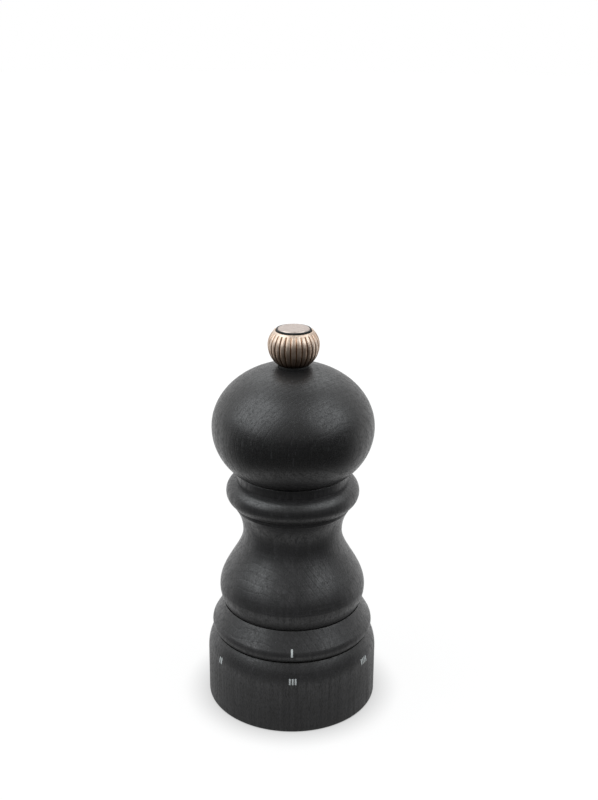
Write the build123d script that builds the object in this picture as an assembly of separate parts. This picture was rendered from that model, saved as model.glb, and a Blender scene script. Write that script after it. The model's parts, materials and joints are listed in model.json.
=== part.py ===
from build123d import *
import os
from math import acos, asin, atan2, cos, degrees, hypot, pi, radians, sin, sqrt

# Pepper mill, all sizes in millimetres, base on Z = 0, mill axis on +Z.

# Fits
SEAT_CLEARANCE = 0.05       # pieces pressed or glued together
RUNNING_CLEARANCE = 0.08    # a shaft in its hole, a thread in its nut
FREE_CLEARANCE = 0.3        # pieces that turn or slide past each other

# Drive
SHAFT_SQUARE = 6.0
SHAFT_THREAD_RADIUS = 2.95
SHAFT_THREAD_LENGTH = 12.6
SHAFT_TIP_CHAMFER = 0.5
SHAFT_TIP_GAP = 0.1         # tip below the top of the knob's insert
SQUARE_PLAY = 0.1           # each side, in the pieces that slide on the square
DRIVE_PLATE_RADIUS = 9.4
DRIVE_PLATE_THICKNESS = 1.5
PLATE_SCREW_PITCH_RADIUS = 7.0
PLATE_SCREW_RADIUS = 0.9
PLATE_SCREW_HEAD_RADIUS = 1.7
PLATE_SCREW_LENGTH = 8.0
CLIP_RADIUS = 5.4
CLIP_GROOVE_RADIUS = 3.35
CLIP_THICKNESS = 0.8
CLIP_MOUTH = 4.4
SPRING_WASHER_THICKNESS = 0.9
SPRING_WASHER_RADIUS = 6.4
BUSH_WALL = 1.3
BUSH_FLANGE_WIDTH = 1.2
BUSH_FLANGE_THICKNESS = 0.8
BUSH_LENGTH = 3.0
BRIDGE_THICKNESS = 1.0
BRIDGE_HUB_WIDTH = 2.4
BRIDGE_ARM_WIDTH = 4.0
ARM_COUNT = 3

# Grinder
ROTOR_BOTTOM_Z = 10.6
ROTOR_HEIGHT = 15.4
ROTOR_FOOT_HEIGHT = 1.0
ROTOR_FINE_HEIGHT = 5.0
ROTOR_FINE_RADIUS = 9.2     # over the tooth tips at the wide end
ROTOR_CONE_SLOPE = 0.3      # radius lost per millimetre of height
ROTOR_TOP_INSET = 0.7
ROTOR_COLLAR_RADIUS = 6.3
ROTOR_COLLAR_HEIGHT = 1.2
ROTOR_FINE_TEETH = 24
ROTOR_FEED_TEETH = 6
FINE_TOOTH_DEPTH = 0.7
FEED_TOOTH_DEPTH = 1.3
TOOTH_FALL = 0.2            # share of a tooth's step taken by its steep face
GRIND_GAP = 0.3             # radial gap between tooth tips at the middle setting
FINE_TWIST = 20.0
FEED_TWIST = 40.0
STATOR_WALL = 3.8           # outside the rotor's widest teeth
STATOR_LIFT = 2.4           # stator above the rotor's underside
STATOR_HEIGHT = 11.0
STATOR_MOUTH_WALL = 2.8
STATOR_FINE_TEETH = 30
STATOR_FEED_TEETH = 8
STATOR_RING_THICKNESS = 0.8
STATOR_RING_DEPTH = 0.6     # of its groove in the housing
STATOR_RING_WIDTH = 1.5
STATOR_RING_MOUTH = 5.0
SPRING_RADIUS = 5.4
SPRING_WIRE = 0.9
SPRING_TURNS = 5
SPRING_ARCS = 4             # biarcs in a turn of the spring
SPRING_SAMPLES = 400        # points on its line where its gap to itself is measured

# Housing
HOUSING_WALL = 3.4
HOUSING_DROP = 1.0          # its lower end below the rotor's underside
HOPPER_WALL = 1.95
FLANGE_WIDTH = 4.85
FLANGE_THICKNESS = 2.0
STEP_WIDTH = 0.75           # bearing step above the liner's flange
STEP_HEIGHT = 1.9
SCREW_RADIUS = 1.2
SCREW_HEAD_RADIUS = 1.8
SCREW_HEAD_THICKNESS = 1.2
SCREW_LENGTH = 8.0
SCREW_FIRST_ANGLE = 90.0
SCREW_COUNT = 3
RETAINER_WIDTH = 2.3
RETAINER_GROOVE_DEPTH = 0.75
RETAINER_THICKNESS = 1.0
RETAINER_PLAY = 0.35        # axial play under the liner's flange
RETAINER_MOUTH = 6.0

# Grind adjuster
SETTING_COUNT = 6
SETTING_ANGLE = 57.0
REST_SETTING = 3
SPIDER_RIM_WALL = 1.87
SPIDER_RIM_HEIGHT = 7.0
SPIDER_DROP = 4.6           # its underside below the rotor's
SPIDER_LINER_GAP = 0.5
SPOKE_WIDTH = 3.5
SPOKE_HEIGHT = 2.5
SPIDER_HUB_RADIUS = 5.2
KEY_WIDTH = 3.7
KEY_DEPTH = 1.1
KEY_RISE = 1.0
KEY_HEIGHT = 5.0
KEY_PLAY = 0.25             # each side of a key in its keyway
KEYWAY_HEIGHT = 13.0
THRUST_WASHER_RADIUS = 4.7
THRUST_WASHER_THICKNESS = 0.8
THRUST_PIN_RADIUS = 1.8
LINER_WALL = 1.5
LINER_BOTTOM_Z = 1.5
LINER_FLANGE_THICKNESS = 2.0
LINER_PLAY = 0.35           # axial play under the bearing step
NOTCH_RADIUS = 0.9
NOTCH_DEPTH = 0.55
LEAF_SPAN = 12.0            # screw to nose
LEAF_WIDTH = 1.8
LEAF_THICKNESS = 0.4
LEAF_TAIL = 2.0
NOSE_CLEARANCE = 0.15

# Wood: base ring
RING_WALL = 6.0
RING_HEIGHT = 22.8
RING_TOP_INSET = 2.25
RING_SHOULDER_HEIGHT = 7.3  # the part of the side that rounds in
RING_FOOT_ROUND = 0.6
RING_RECESS_GAP = 0.4       # round the housing's flange
RING_BODY_GAP = 0.4

# Wood: body
LOWER_BEAD_BULGE = 0.8
LOWER_BEAD_RISE = 1.8       # widest point above the foot
LOWER_BEAD_ROUND = 3.2
GROOVE_RISE = 8.6
GROOVE_DEPTH = 1.65
GROOVE_LIP = 0.45
BELLY_WALL = 6.05
BELLY_RISE = 14.2
NECK_WALL = 3.7
NECK_RISE = 32.8
WAIST_EASE = 0.35           # share of the waist's height that eases in at each end
COVE_LENGTH = 8.1
COVE_STEP = 2.4             # cove's edge outside the neck
FILLET_HEIGHT = 1.2
UPPER_BEAD_STEP = 5.1       # bead outside the neck
UPPER_BEAD_LOWER = 3.7      # widest point above the fillet
UPPER_BEAD_UPPER = 4.0      # collar above the widest point
COLLAR_STEP = 1.9           # collar outside the neck
COLLAR_HEIGHT = 2.75
BODY_TOP_ROUND = 0.3
CHAMBER_RADIUS = 11.5
MECHANISM_BORE_DEPTH = 15.8

# Wood: head
HEAD_BODY_GAP = 0.45
HEAD_RADIUS = 24.4
HEAD_BASE_STEP = 0.6        # its base outside the body's collar
HEAD_MID_RISE = 13.6        # widest point above the head's base
HEAD_UPPER_HEIGHT = 19.2    # widest point to the crown
SPIGOT_LENGTH = 10.2
SPOT_FACE_RADIUS = 5.3
HEAD_HOLE_RADIUS = 4.6
HEAD_TOP_HOLE_RADIUS = 3.3

# Knob
KNOB_HEIGHT = 10.2
KNOB_RADIUS = 7.65
KNOB_BASE_RADIUS = 4.7
KNOB_MID_RISE = 5.9
KNOB_RIM_RADIUS = 6.0
KNOB_RIM_ROUND = 0.3
KNOB_RECESS_RADIUS = 5.35
KNOB_RECESS_DEPTH = 1.2
KNOB_WASHER_RADIUS = 4.6
KNOB_WASHER_THICKNESS = 0.6
FLUTE_COUNT = 28
FLUTE_RADIUS = 0.42
FLUTE_DEPTH = 0.36
FLUTE_TOP_ANGLE = 28.0      # latitude on the knob where a flute starts to run out
FLUTE_LOW_ANGLE = -70.0
FLUTE_RUN_OUT = 2.0
DISC_RADIUS = 4.75
DISC_EDGE = 0.25
DISC_PROUD = 0.67           # disc above the knob's rim
INSERT_WALL = 1.27
INSERT_LENGTH = 7.2
BOSS_WALL = 0.87

# Radii worked out from the grinder outwards
SHAFT_CORNER_RADIUS = SHAFT_SQUARE / sqrt(2)
SHAFT_BORE_RADIUS = SHAFT_CORNER_RADIUS + RUNNING_CLEARANCE
SQUARE_HOLE = SHAFT_SQUARE + 2 * SQUARE_PLAY
BUSH_RADIUS = SHAFT_BORE_RADIUS + BUSH_WALL
STATOR_RADIUS = ROTOR_FINE_RADIUS + STATOR_WALL
STATOR_MOUTH_RADIUS = STATOR_RADIUS - STATOR_MOUTH_WALL
HOUSING_SEAT_RADIUS = STATOR_RADIUS + SEAT_CLEARANCE
HOUSING_SLEEVE_RADIUS = HOUSING_SEAT_RADIUS + HOUSING_WALL
STEP_RADIUS = HOUSING_SLEEVE_RADIUS + STEP_WIDTH
FLANGE_RADIUS = HOUSING_SLEEVE_RADIUS + FLANGE_WIDTH
SCREW_PITCH_RADIUS = (STEP_RADIUS + FLANGE_RADIUS) / 2
RETAINER_GROOVE_RADIUS = HOUSING_SLEEVE_RADIUS - RETAINER_GROOVE_DEPTH
SPIDER_BORE_RADIUS = HOUSING_SLEEVE_RADIUS + RUNNING_CLEARANCE
SPIDER_RIM_RADIUS = SPIDER_BORE_RADIUS + SPIDER_RIM_WALL
KEY_RADIUS = SPIDER_RIM_RADIUS + KEY_DEPTH
LINER_WALL_RADIUS = SPIDER_RIM_RADIUS + SPIDER_LINER_GAP
LINER_RADIUS = LINER_WALL_RADIUS + LINER_WALL
RING_BORE_RADIUS = LINER_RADIUS + SEAT_CLEARANCE
RING_RADIUS = RING_BORE_RADIUS + RING_WALL
RING_TOP_RADIUS = RING_RADIUS - RING_TOP_INSET
RING_RECESS_RADIUS = FLANGE_RADIUS + RING_RECESS_GAP
MECHANISM_BORE_RADIUS = HOUSING_SLEEVE_RADIUS + SEAT_CLEARANCE
FOOT_RADIUS = RING_TOP_RADIUS
LOWER_BEAD_RADIUS = FOOT_RADIUS + LOWER_BEAD_BULGE
BELLY_RADIUS = MECHANISM_BORE_RADIUS + BELLY_WALL
GROOVE_RADIUS = BELLY_RADIUS - GROOVE_DEPTH
NECK_RADIUS = CHAMBER_RADIUS + NECK_WALL
COVE_EDGE_RADIUS = NECK_RADIUS + COVE_STEP
UPPER_BEAD_RADIUS = NECK_RADIUS + UPPER_BEAD_STEP
COLLAR_RADIUS = NECK_RADIUS + COLLAR_STEP
HEAD_BASE_RADIUS = COLLAR_RADIUS + HEAD_BASE_STEP
INSERT_BORE_RADIUS = SHAFT_THREAD_RADIUS + RUNNING_CLEARANCE
INSERT_RADIUS = INSERT_BORE_RADIUS + INSERT_WALL
KNOB_BOSS_RADIUS = INSERT_BORE_RADIUS + BOSS_WALL

# Levels worked out from the base up
STATOR_BOTTOM_Z = ROTOR_BOTTOM_Z + STATOR_LIFT
STATOR_TOP_Z = STATOR_BOTTOM_Z + STATOR_HEIGHT
STATOR_RING_Z = STATOR_BOTTOM_Z - STATOR_RING_THICKNESS
ROTOR_TOP_Z = ROTOR_BOTTOM_Z + ROTOR_HEIGHT
FINE_Z = ROTOR_BOTTOM_Z + ROTOR_FOOT_HEIGHT
FEED_Z = FINE_Z + ROTOR_FINE_HEIGHT
SPIDER_BOTTOM_Z = ROTOR_BOTTOM_Z - SPIDER_DROP
HOUSING_BOTTOM_Z = ROTOR_BOTTOM_Z - HOUSING_DROP
THRUST_WASHER_Z = ROTOR_BOTTOM_Z - THRUST_WASHER_THICKNESS
BODY_Z = RING_HEIGHT + RING_BODY_GAP
NECK_Z = BODY_Z + NECK_RISE
COVE_EDGE_Z = NECK_Z + COVE_LENGTH
FILLET_TOP_Z = COVE_EDGE_Z + FILLET_HEIGHT
UPPER_BEAD_Z = FILLET_TOP_Z + UPPER_BEAD_LOWER
COLLAR_Z = UPPER_BEAD_Z + UPPER_BEAD_UPPER
BODY_TOP_Z = COLLAR_Z + COLLAR_HEIGHT
HEAD_Z = BODY_TOP_Z + HEAD_BODY_GAP
HEAD_MID_Z = HEAD_Z + HEAD_MID_RISE
SPIGOT_Z = HEAD_Z - SPIGOT_LENGTH
HEAD_TOP_Z = HEAD_MID_Z + HEAD_UPPER_HEIGHT * sqrt(1 - (SPOT_FACE_RADIUS / HEAD_RADIUS) ** 2)
KNOB_Z = HEAD_TOP_Z + KNOB_WASHER_THICKNESS
KNOB_TOP_Z = KNOB_Z + KNOB_HEIGHT
DISC_Z = KNOB_TOP_Z - KNOB_RECESS_DEPTH
DISC_TOP_Z = KNOB_TOP_Z + DISC_PROUD
MECHANISM_TOP_Z = BODY_Z + MECHANISM_BORE_DEPTH
BRIDGE_Z = MECHANISM_TOP_Z - BRIDGE_THICKNESS
BUSH_Z = BRIDGE_Z - BUSH_FLANGE_THICKNESS
BUSH_TOP_Z = BUSH_Z + BUSH_LENGTH
LOWER_CLIP_Z = BUSH_Z - 2 * RUNNING_CLEARANCE - CLIP_THICKNESS
UPPER_CLIP_Z = BUSH_TOP_Z + 2 * RUNNING_CLEARANCE
SPRING_WASHER_Z = LOWER_CLIP_Z - SPRING_WASHER_THICKNESS
FLANGE_Z = BODY_Z - FLANGE_THICKNESS
STEP_Z = FLANGE_Z - STEP_HEIGHT
SCREW_TIP_Z = FLANGE_Z + SCREW_LENGTH
LINER_TOP_Z = STEP_Z - LINER_PLAY
LINER_FLANGE_Z = LINER_TOP_Z - LINER_FLANGE_THICKNESS
RETAINER_Z = LINER_FLANGE_Z - RETAINER_PLAY - RETAINER_THICKNESS
SHAFT_BOTTOM_Z = STATOR_BOTTOM_Z
SHAFT_TIP_Z = KNOB_Z + INSERT_LENGTH - SHAFT_TIP_GAP
SHAFT_SHOULDER_Z = SHAFT_TIP_Z - SHAFT_THREAD_LENGTH
HEAD_STEP_Z = SHAFT_SHOULDER_Z + FREE_CLEARANCE
LEAF_HALF_ANGLE = degrees(asin(LEAF_SPAN / SCREW_PITCH_RADIUS / 2))
NOSE_ANGLE = SCREW_FIRST_ANGLE + 2 * LEAF_HALF_ANGLE


def turned(*lines):
    """Solid of revolution about Z of the outline whose points are (radius, height)."""
    outline = Wire([edge for line in lines for edge in line.edges()])
    return revolve(Plane.XZ * make_face(outline), Axis.Z)


def tube(outer, inner, bottom, top):
    """Plain ring or sleeve."""
    section = Circle(outer) - Circle(inner)
    return Pos(0, 0, bottom) * extrude(section, top - bottom)


def rod(radius, bottom, top):
    """Plain round bar on the mill axis."""
    return Pos(0, 0, bottom) * extrude(Circle(radius), top - bottom)


def bar(width, depth, bottom, top):
    """Square or flat bar on the mill axis."""
    return Pos(0, 0, bottom) * extrude(Rectangle(width, depth), top - bottom)


def around(count, first_angle=0.0):
    """Turns about the mill axis, evenly spread."""
    return [Rot(0, 0, first_angle + 360 / count * i) for i in range(count)]


def split_ring(outer, inner, bottom, thickness, mouth):
    """Spring ring with a mouth cut on its +X side."""
    ring = tube(outer, inner, bottom, bottom + thickness)
    gap = Pos(outer / 2, 0, 0) * bar(outer, mouth, bottom, bottom + thickness)
    return ring - gap


def make_adjusting_ring():
    bore = RING_BORE_RADIUS
    foot = RING_RADIUS - RING_FOOT_ROUND
    shoulder_z = RING_HEIGHT - RING_SHOULDER_HEIGHT
    ledge_z = LINER_TOP_Z + SEAT_CLEARANCE
    return turned(
        Line((bore, 0), (foot, 0)),
        TangentArc((foot, 0), (RING_RADIUS, RING_FOOT_ROUND), tangent=(1, 0)),
        Line((RING_RADIUS, RING_FOOT_ROUND), (RING_RADIUS, shoulder_z)),
        TangentArc((RING_RADIUS, shoulder_z), (RING_TOP_RADIUS, RING_HEIGHT), tangent=(0, 1)),
        Line((RING_TOP_RADIUS, RING_HEIGHT), (RING_RECESS_RADIUS, RING_HEIGHT)),
        Line((RING_RECESS_RADIUS, RING_HEIGHT), (RING_RECESS_RADIUS, ledge_z)),
        Line((RING_RECESS_RADIUS, ledge_z), (bore, ledge_z)),
        Line((bore, ledge_z), (bore, 0)),
    )


def body_outline():
    """Outer outline of the body from its foot to the top of its collar."""
    lower_bead_z = BODY_Z + LOWER_BEAD_RISE
    bead_centre = (LOWER_BEAD_RADIUS - LOWER_BEAD_ROUND, lower_bead_z)
    groove_z = BODY_Z + GROOVE_RISE
    lip = (GROOVE_RADIUS + GROOVE_LIP, groove_z + GROOVE_LIP / 2)
    to_lip = (lip[0] - bead_centre[0], lip[1] - bead_centre[1])
    bead_angle = degrees(atan2(to_lip[1], to_lip[0]) - acos(LOWER_BEAD_ROUND / hypot(*to_lip)))
    bead = CenterArc(bead_centre, LOWER_BEAD_ROUND, 0, bead_angle)
    belly = (BELLY_RADIUS, BODY_Z + BELLY_RISE)
    neck = (NECK_RADIUS, NECK_Z)
    handle = (neck[1] - belly[1]) * WAIST_EASE
    cove_edge = (COVE_EDGE_RADIUS, COVE_EDGE_Z)
    fillet_top = (COVE_EDGE_RADIUS, FILLET_TOP_Z)
    upper_bead = (UPPER_BEAD_RADIUS, UPPER_BEAD_Z)
    collar_foot = (COLLAR_RADIUS, COLLAR_Z)
    collar_top = (COLLAR_RADIUS, BODY_TOP_Z - BODY_TOP_ROUND)
    return [
        TangentArc((LOWER_BEAD_RADIUS, lower_bead_z), (FOOT_RADIUS, BODY_Z), tangent=(0, -1)),
        bead,
        Line(bead @ 1, lip),
        Line(lip, (GROOVE_RADIUS, groove_z)),
        TangentArc(belly, (GROOVE_RADIUS, groove_z), tangent=(0, -1)),
        Bezier(belly, (belly[0], belly[1] + handle), (neck[0], neck[1] - handle), neck),
        TangentArc(neck, cove_edge, tangent=(0, 1)),
        Line(cove_edge, fillet_top),
        TangentArc(upper_bead, fillet_top, tangent=(0, -1)),
        TangentArc(upper_bead, collar_foot, tangent=(0, 1)),
        Line(collar_foot, collar_top),
        TangentArc(collar_top, (COLLAR_RADIUS - BODY_TOP_ROUND, BODY_TOP_Z), tangent=(0, 1)),
    ]


def make_turned_body():
    wood = turned(
        *body_outline(),
        Line((COLLAR_RADIUS - BODY_TOP_ROUND, BODY_TOP_Z), (CHAMBER_RADIUS, BODY_TOP_Z)),
        Line((CHAMBER_RADIUS, BODY_TOP_Z), (CHAMBER_RADIUS, MECHANISM_TOP_Z)),
        Line((CHAMBER_RADIUS, MECHANISM_TOP_Z), (MECHANISM_BORE_RADIUS, MECHANISM_TOP_Z)),
        Line((MECHANISM_BORE_RADIUS, MECHANISM_TOP_Z), (MECHANISM_BORE_RADIUS, BODY_Z)),
        Line((MECHANISM_BORE_RADIUS, BODY_Z), (FOOT_RADIUS, BODY_Z)),
    )
    pilot = Pos(SCREW_PITCH_RADIUS, 0, 0) * rod(SCREW_RADIUS + SEAT_CLEARANCE, BODY_Z, SCREW_TIP_Z)
    return wood - [turn * pilot for turn in around(SCREW_COUNT, SCREW_FIRST_ANGLE)]


def make_turned_head():
    spigot = CHAMBER_RADIUS - FREE_CLEARANCE
    plate_pocket = DRIVE_PLATE_RADIUS + SEAT_CLEARANCE
    plate_top_z = SPIGOT_Z + DRIVE_PLATE_THICKNESS
    middle = (HEAD_RADIUS, HEAD_MID_Z)
    crown_angle = degrees(acos(SPOT_FACE_RADIUS / HEAD_RADIUS))
    wood = turned(
        Line((plate_pocket, SPIGOT_Z), (spigot, SPIGOT_Z)),
        Line((spigot, SPIGOT_Z), (spigot, HEAD_Z)),
        Line((spigot, HEAD_Z), (HEAD_BASE_RADIUS, HEAD_Z)),
        TangentArc(middle, (HEAD_BASE_RADIUS, HEAD_Z), tangent=(0, -1)),
        EllipticalCenterArc((0, HEAD_MID_Z), HEAD_RADIUS, HEAD_UPPER_HEIGHT, 0, arc_size=crown_angle),
        Line((SPOT_FACE_RADIUS, HEAD_TOP_Z), (HEAD_TOP_HOLE_RADIUS, HEAD_TOP_Z)),
        Line((HEAD_TOP_HOLE_RADIUS, HEAD_TOP_Z), (HEAD_TOP_HOLE_RADIUS, HEAD_STEP_Z)),
        Line((HEAD_TOP_HOLE_RADIUS, HEAD_STEP_Z), (HEAD_HOLE_RADIUS, HEAD_STEP_Z)),
        Line((HEAD_HOLE_RADIUS, HEAD_STEP_Z), (HEAD_HOLE_RADIUS, plate_top_z)),
        Line((HEAD_HOLE_RADIUS, plate_top_z), (plate_pocket, plate_top_z)),
        Line((plate_pocket, plate_top_z), (plate_pocket, SPIGOT_Z)),
    )
    tip_z = SPIGOT_Z + PLATE_SCREW_LENGTH + SEAT_CLEARANCE
    pilot = rod(PLATE_SCREW_RADIUS + SEAT_CLEARANCE, plate_top_z, tip_z)
    return wood - [spot * pilot for spot in plate_screw_spots()]


def plate_screw_spots():
    return [Pos(x, 0, 0) for x in (-PLATE_SCREW_PITCH_RADIUS, PLATE_SCREW_PITCH_RADIUS)]


def plate_screw(clearance):
    """Countersunk screw with its flat head at the plate's underside."""
    head = PLATE_SCREW_HEAD_RADIUS + clearance
    shank = PLATE_SCREW_RADIUS + clearance
    neck_z = SPIGOT_Z + head - shank
    tip_z = SPIGOT_Z + PLATE_SCREW_LENGTH + clearance
    return turned(
        Polyline((0, SPIGOT_Z), (head, SPIGOT_Z), (shank, neck_z)),
        Polyline((shank, neck_z), (shank, tip_z - shank), (0, tip_z), (0, SPIGOT_Z)),
    )


def make_head_drive_plate():
    section = Circle(DRIVE_PLATE_RADIUS) - Rectangle(SQUARE_HOLE, SQUARE_HOLE)
    plate = Pos(0, 0, SPIGOT_Z) * extrude(section, DRIVE_PLATE_THICKNESS - SEAT_CLEARANCE)
    return plate - [spot * plate_screw(SEAT_CLEARANCE) for spot in plate_screw_spots()]


def make_drive_plate_screws():
    return [spot * plate_screw(0) for spot in plate_screw_spots()]


def knob_flute():
    """Cutter for one flute: it follows the knob's side and runs out straight at the top."""
    path_radius = KNOB_RADIUS + FLUTE_RADIUS - FLUTE_DEPTH
    centre_z = KNOB_Z + KNOB_MID_RISE
    low = radians(FLUTE_LOW_ANGLE)
    high = radians(FLUTE_TOP_ANGLE)
    start = (path_radius * cos(low), centre_z + path_radius * sin(low))
    end = (path_radius * cos(high), centre_z + path_radius * sin(high))
    out = (end[0] - FLUTE_RUN_OUT * sin(high), end[1] + FLUTE_RUN_OUT * cos(high))
    middle = (path_radius, centre_z)
    path = Plane.XZ * Wire([ThreePointArc(start, middle, end), Line(end, out)])
    section = Plane(path @ 0, z_dir=path % 0) * Circle(FLUTE_RADIUS)
    return sweep(section, path)


def make_knob():
    mid = (KNOB_RADIUS, KNOB_Z + KNOB_MID_RISE)
    rim_z = KNOB_TOP_Z - KNOB_RIM_ROUND
    lip = KNOB_RECESS_RADIUS + KNOB_RIM_ROUND
    socket = INSERT_RADIUS + SEAT_CLEARANCE
    socket_top_z = KNOB_Z + INSERT_LENGTH + FREE_CLEARANCE
    blank = turned(
        TangentArc(mid, (KNOB_BASE_RADIUS, KNOB_Z), tangent=(0, -1)),
        TangentArc(mid, (KNOB_RIM_RADIUS, rim_z), tangent=(0, 1)),
        Polyline((KNOB_RIM_RADIUS, rim_z), (lip, KNOB_TOP_Z), (KNOB_RECESS_RADIUS, KNOB_TOP_Z)),
        Polyline((KNOB_RECESS_RADIUS, KNOB_TOP_Z), (KNOB_RECESS_RADIUS, DISC_Z), (0, DISC_Z)),
        Polyline((0, DISC_Z), (0, socket_top_z), (socket, socket_top_z), (socket, KNOB_Z)),
        Line((socket, KNOB_Z), (KNOB_BASE_RADIUS, KNOB_Z)),
    )
    flute = knob_flute()
    return blank - [turn * flute for turn in around(FLUTE_COUNT)]


def make_knob_disc():
    edge_z = DISC_TOP_Z - DISC_EDGE
    face = DISC_RADIUS - DISC_EDGE
    return turned(
        Polyline((0, DISC_Z), (DISC_RADIUS, DISC_Z), (DISC_RADIUS, edge_z)),
        Polyline((DISC_RADIUS, edge_z), (face, DISC_TOP_Z), (0, DISC_TOP_Z)),
        Line((0, DISC_TOP_Z), (0, DISC_Z)),
    )


def make_knob_thread_insert():
    """Pressed in the knob; its lower end is the boss that holds the washer."""
    boss_z = HEAD_TOP_Z + FREE_CLEARANCE
    bush = tube(INSERT_RADIUS, INSERT_BORE_RADIUS, KNOB_Z, KNOB_Z + INSERT_LENGTH)
    return bush + tube(KNOB_BOSS_RADIUS, INSERT_BORE_RADIUS, boss_z, KNOB_Z)


def make_knob_washer():
    return tube(KNOB_WASHER_RADIUS, KNOB_BOSS_RADIUS + RUNNING_CLEARANCE, HEAD_TOP_Z, KNOB_Z)


def make_drive_shaft():
    square = bar(SHAFT_SQUARE, SHAFT_SQUARE, SHAFT_BOTTOM_Z, SHAFT_SHOULDER_Z)
    end = rod(SHAFT_THREAD_RADIUS, SHAFT_SHOULDER_Z, SHAFT_TIP_Z)
    end = chamfer(end.edges().group_by(Axis.Z)[-1], SHAFT_TIP_CHAMFER)
    shaft = square + end
    for clip_z in (LOWER_CLIP_Z, UPPER_CLIP_Z):
        groove = tube(SHAFT_SQUARE, CLIP_GROOVE_RADIUS, clip_z, clip_z + CLIP_THICKNESS)
        shaft = shaft - groove
    return shaft


def make_shaft_clips():
    inner = CLIP_GROOVE_RADIUS + SEAT_CLEARANCE
    thickness = CLIP_THICKNESS - 2 * SEAT_CLEARANCE
    clip = split_ring(CLIP_RADIUS, inner, SEAT_CLEARANCE, thickness, CLIP_MOUTH)
    return [Pos(0, 0, clip_z) * clip for clip_z in (LOWER_CLIP_Z, UPPER_CLIP_Z)]


def make_spring_washer():
    return tube(SPRING_WASHER_RADIUS, SHAFT_BORE_RADIUS, SPRING_WASHER_Z, LOWER_CLIP_Z)


def make_rotor_spring():
    """One tube swept on biarcs that climb from the rotor to the washer."""
    wire = SPRING_WIRE / 2
    bottom = ROTOR_TOP_Z + wire + SEAT_CLEARANCE
    top = SPRING_WASHER_Z - wire - SEAT_CLEARANCE
    steps = SPRING_TURNS * SPRING_ARCS
    turn = 2 * pi / SPRING_ARCS
    rise = (top - bottom) / steps

    def point(step):
        angle = step * turn
        return Vector(SPRING_RADIUS * cos(angle), SPRING_RADIUS * sin(angle), bottom + rise * step)

    def heading(step):
        angle = step * turn
        along = Vector(-SPRING_RADIUS * sin(angle), SPRING_RADIUS * cos(angle), rise / turn)
        return along.normalized()

    arcs = []
    for step in range(steps):
        arcs.extend(biarc(point(step), heading(step), point(step + 1), heading(step + 1)))
    path = Wire(arcs)
    section = Plane(path @ 0, z_dir=path % 0) * Circle(wire)
    print("spring's least gap to itself", round(least_gap(path) - SPRING_WIRE, 2))
    return sweep(section, path)


def least_gap(path):
    """Least distance between points of the spring's line at least half a turn apart."""
    points = [path @ (i / SPRING_SAMPLES) for i in range(SPRING_SAMPLES + 1)]
    half_turn = SPRING_SAMPLES // SPRING_TURNS // 2
    gaps = []
    for i, start in enumerate(points):
        gaps.extend((start - other).length for other in points[i + half_turn:])
    return min(gaps)


def biarc(start, start_heading, end, end_heading):
    """Two arcs from start to end with the given unit headings, tangent where they meet."""
    chord = end - start
    headings = start_heading + end_heading
    a = 2 * (1 - start_heading.dot(end_heading))
    b = 2 * chord.dot(headings)
    c = -chord.dot(chord)
    reach = (-b + sqrt(b * b - 4 * a * c)) / (2 * a)
    middle = (start + start_heading * reach + end - end_heading * reach) * 0.5
    first = Edge.make_tangent_arc(start, start_heading, middle)
    return [first, Edge.make_tangent_arc(middle, first % 1, end)]


def make_shaft_bush():
    flange = BUSH_RADIUS + BUSH_FLANGE_WIDTH
    bush = tube(BUSH_RADIUS, SHAFT_BORE_RADIUS, BUSH_Z, BUSH_TOP_Z)
    return bush + tube(flange, SHAFT_BORE_RADIUS, BUSH_Z, BRIDGE_Z - SEAT_CLEARANCE)


def make_upper_bridge():
    reach = MECHANISM_BORE_RADIUS - SEAT_CLEARANCE
    hub = rod(BUSH_RADIUS + BRIDGE_HUB_WIDTH, BRIDGE_Z, MECHANISM_TOP_Z)
    arm = Pos(reach / 2, 0, 0) * bar(reach, BRIDGE_ARM_WIDTH, BRIDGE_Z, MECHANISM_TOP_Z)
    bridge = hub + [turn * arm for turn in around(ARM_COUNT)]
    bridge = bridge & rod(reach, BRIDGE_Z, MECHANISM_TOP_Z)
    return bridge - rod(BUSH_RADIUS + SEAT_CLEARANCE, BRIDGE_Z, MECHANISM_TOP_Z)


def tooth_section(tip, root, count, turn, height):
    """Saw-toothed polygon: each tooth climbs from its root to its tip, then drops."""
    step = 2 * pi / count
    corners = []
    for i in range(count):
        tip_angle = radians(turn) + i * step
        root_angle = tip_angle + TOOTH_FALL * step
        corners.append((tip * cos(tip_angle), tip * sin(tip_angle)))
        corners.append((root * cos(root_angle), root * sin(root_angle)))
    return Pos(0, 0, height) * make_face(Polyline(*corners, close=True))


def toothed_cone(bottom, top, twist, count, depth, layers=3):
    """Ruled loft of toothed sections; bottom and top are (tip radius, height)."""
    sections = []
    for i in range(layers + 1):
        share = i / layers
        tip = bottom[0] + (top[0] - bottom[0]) * share
        height = bottom[1] + (top[1] - bottom[1]) * share
        sections.append(tooth_section(tip, tip + depth, count, twist * share, height))
    return loft(sections, ruled=True)


def rotor_tip(height):
    """Radius over the rotor's fine teeth at a height within their cone."""
    return ROTOR_FINE_RADIUS - ROTOR_CONE_SLOPE * (height - FINE_Z)


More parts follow.
